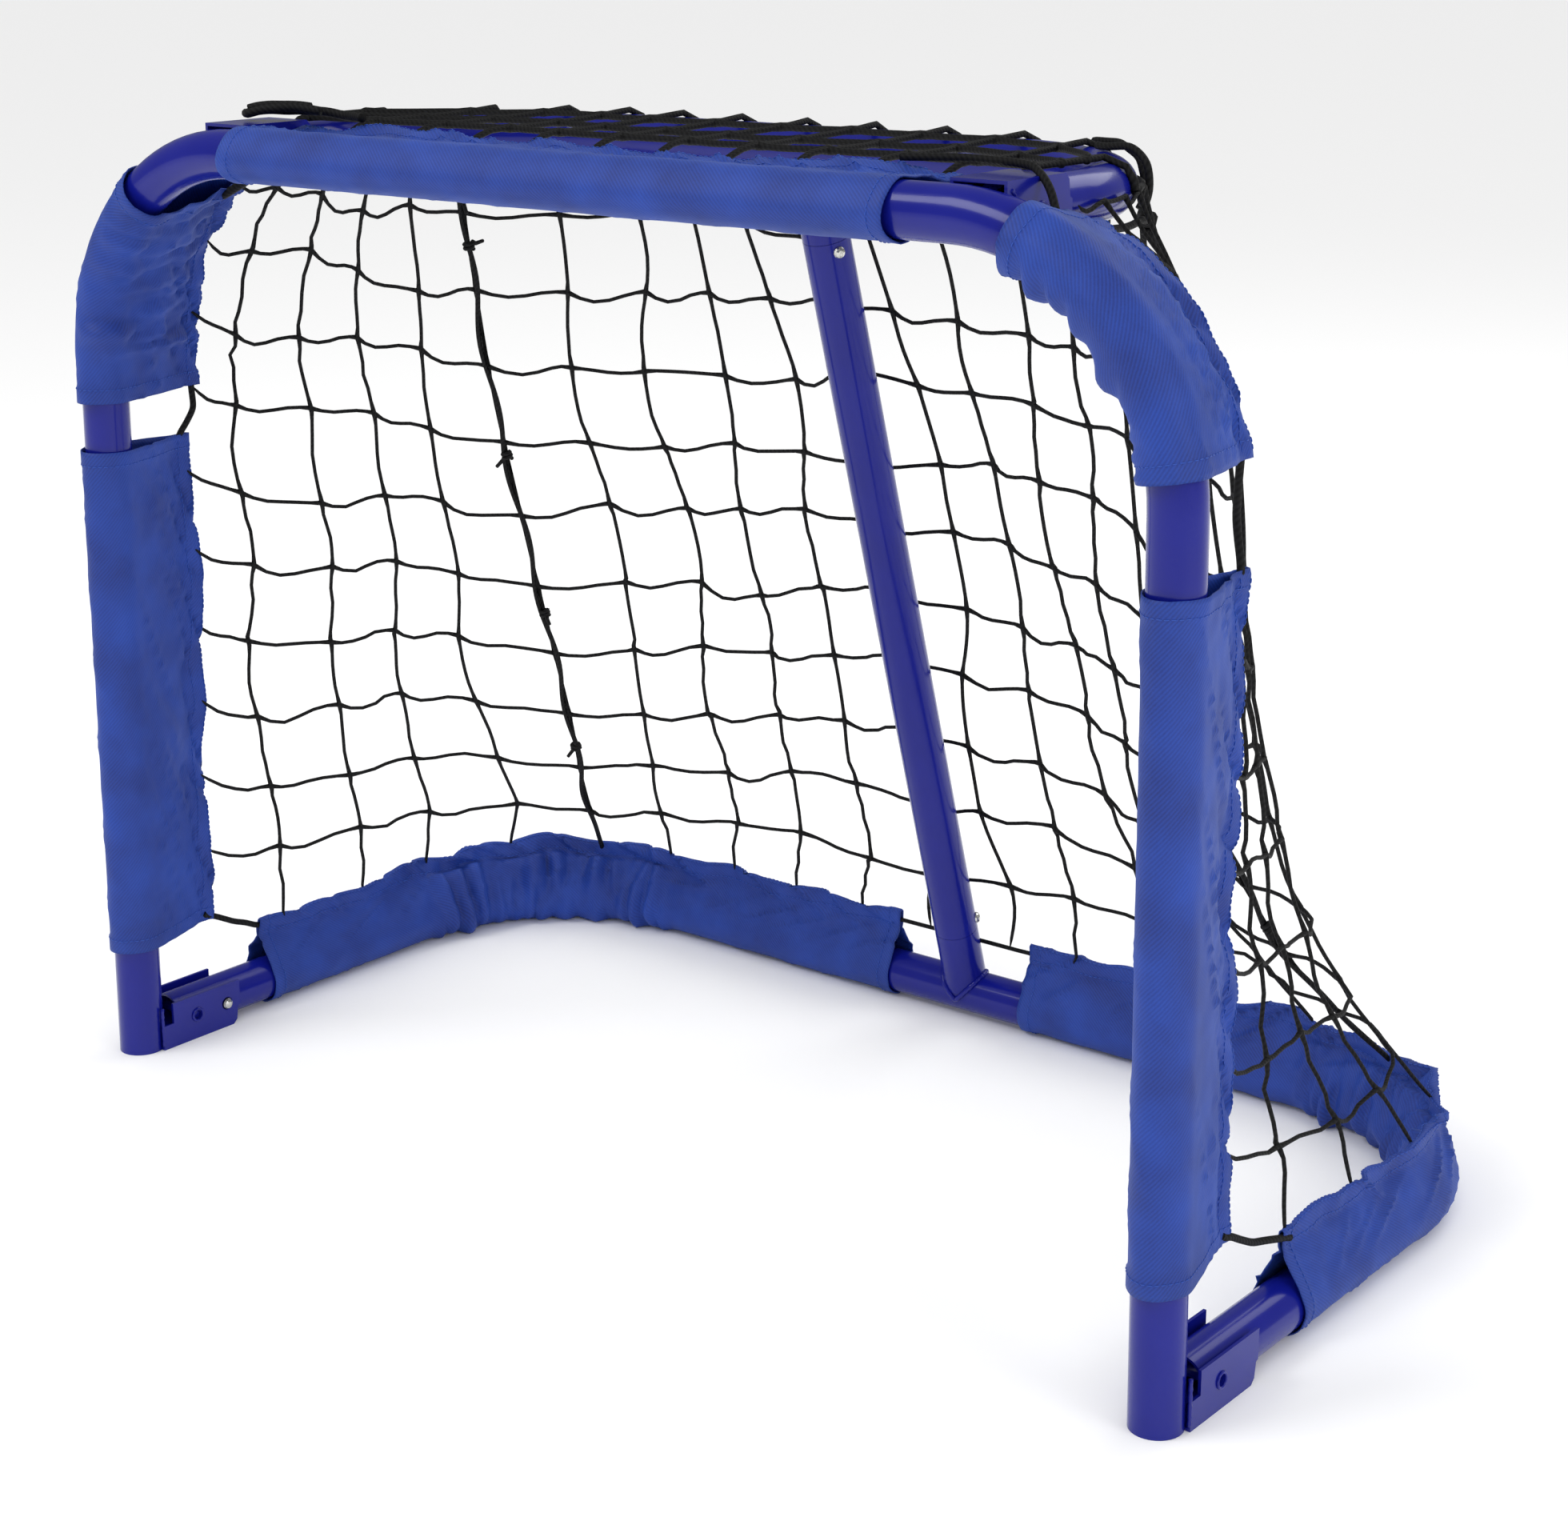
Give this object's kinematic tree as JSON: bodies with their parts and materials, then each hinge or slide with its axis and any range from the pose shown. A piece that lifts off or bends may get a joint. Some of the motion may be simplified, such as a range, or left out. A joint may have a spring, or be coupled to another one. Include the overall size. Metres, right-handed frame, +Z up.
{
  "type": "folding street hockey goal",
  "caption": "Small folding sports goal of bent steel tube with a sloping rear strut, cloth sleeves and a square-mesh net; it stands on its front feet and its base loop.",
  "frame": {"origin": "on the floor, under the middle of the goal's bounding box", "axes": "+X to the right seen from in front of the mouth, +Y from the mouth to the back, +Z up"},
  "size_m": [0.9046, 0.4726, 0.6796],
  "materials": {
    "blue_enamel": "gloss enamel on bent steel tube",
    "blue_cloth": "twill, sewn",
    "black_cord": "knotted black polyester cord",
    "plated_steel": "bright zinc plate",
    "spring_steel": "bare spring steel"
  },
  "bodies": {
    "front": {"front_frame": "blue_enamel", "foot_bracket_left": "blue_enamel", "foot_bracket_right": "blue_enamel", "top_bracket_left": "blue_enamel", "top_bracket_right": "blue_enamel", "pivot_pin_foot_left": "plated_steel", "pivot_pin_foot_right": "plated_steel", "pivot_pin_top_left": "plated_steel", "pivot_pin_top_right": "plated_steel", "post_sleeve_left": "blue_cloth", "post_sleeve_right": "blue_cloth", "corner_sleeve_left": "blue_cloth", "corner_sleeve_right": "blue_cloth", "crossbar_sleeve": "blue_cloth", "net_left": "black_cord", "net_right": "black_cord", "net_back": "black_cord", "seam_cord_left": "black_cord", "seam_cord_right": "black_cord", "edge_cord_left": "black_cord", "edge_cord_right": "black_cord", "border_cord_left": "black_cord", "border_cord_right": "black_cord"},
    "base": {"base_frame": "blue_enamel", "base_stub": "blue_enamel", "base_spigot": "spring_steel", "button_spring_foot_left": "spring_steel", "button_spring_foot_right": "spring_steel", "button_spring_strut_base": "spring_steel", "base_sleeve_left": "blue_cloth", "base_sleeve_right": "blue_cloth"},
    "top": {"top_frame": "blue_enamel", "top_stub": "blue_enamel", "top_spigot": "spring_steel", "button_spring_top_left": "spring_steel", "button_spring_top_right": "spring_steel", "button_spring_strut_top": "spring_steel", "net_top": "black_cord"},
    "strut": {"rear_strut": "blue_enamel"},
    "foot_button_left": {"snap_button_foot_left": "plated_steel"},
    "foot_button_right": {"snap_button_foot_right": "plated_steel"},
    "top_button_left": {"snap_button_top_left": "plated_steel"},
    "top_button_right": {"snap_button_top_right": "plated_steel"},
    "strut_button_base": {"snap_button_strut_base": "plated_steel"},
    "strut_button_top": {"snap_button_strut_top": "plated_steel"}
  },
  "joints": [
    {"name": "base_fold", "type": "hinge", "parent": "front", "child": "base", "pos_m": [0, -0.17954, 0.0183], "axis": [1, 0, 0], "range_deg": [0, 90], "deforming": ["net_left", "net_right", "net_back", "net_top", "seam_cord_left", "seam_cord_right", "border_cord_left", "border_cord_right", "post_sleeve_left", "post_sleeve_right", "base_sleeve_left", "base_sleeve_right", "snap_button_foot_left", "snap_button_foot_right", "snap_button_top_left", "snap_button_top_right", "button_spring_foot_left", "button_spring_foot_right", "button_spring_top_left", "button_spring_top_right"]},
    {"name": "top_fold", "type": "hinge", "parent": "front", "child": "top", "pos_m": [0, -0.17954, 0.658], "axis": [1, 0, 0], "range_deg": [-90, 0]},
    {"name": "strut_take_out", "type": "slide", "parent": "front", "child": "strut", "axis": [0, -1, 0], "range_m": [0, 0.7069]},
    {"name": "foot_button_left_press", "type": "slide", "parent": "base", "child": "foot_button_left", "axis": [-1, 0, 0], "range_m": [0, 0.005], "stiffness_N_per_m": 900, "springref_m": -0.003, "deforming": ["button_spring_foot_left"]},
    {"name": "foot_button_right_press", "type": "slide", "parent": "base", "child": "foot_button_right", "axis": [1, 0, 0], "range_m": [0, 0.005], "stiffness_N_per_m": 900, "springref_m": -0.003, "deforming": ["button_spring_foot_right"]},
    {"name": "top_button_left_press", "type": "slide", "parent": "top", "child": "top_button_left", "axis": [-1, 0, 0], "range_m": [0, 0.005], "stiffness_N_per_m": 900, "springref_m": -0.003, "deforming": ["button_spring_top_left"]},
    {"name": "top_button_right_press", "type": "slide", "parent": "top", "child": "top_button_right", "axis": [1, 0, 0], "range_m": [0, 0.005], "stiffness_N_per_m": 900, "springref_m": -0.003, "deforming": ["button_spring_top_right"]},
    {"name": "strut_button_base_press", "type": "slide", "parent": "base", "child": "strut_button_base", "axis": [-0.8192, -0.5489, -0.1665], "range_m": [0, 0.005], "stiffness_N_per_m": 900, "springref_m": -0.003, "deforming": ["button_spring_strut_base"]},
    {"name": "strut_button_top_press", "type": "slide", "parent": "top", "child": "strut_button_top", "axis": [-0.8988, 0.4195, 0.1272], "range_m": [0, 0.005], "stiffness_N_per_m": 900, "springref_m": -0.003, "deforming": ["button_spring_strut_top"]}
  ],
  "couplings": [
    {"joint": "top_fold", "follows": "base_fold", "ratio": -1},
    {"joint": "strut_take_out", "follows": "base_fold", "m_per_rad": 0.45}
  ]
}
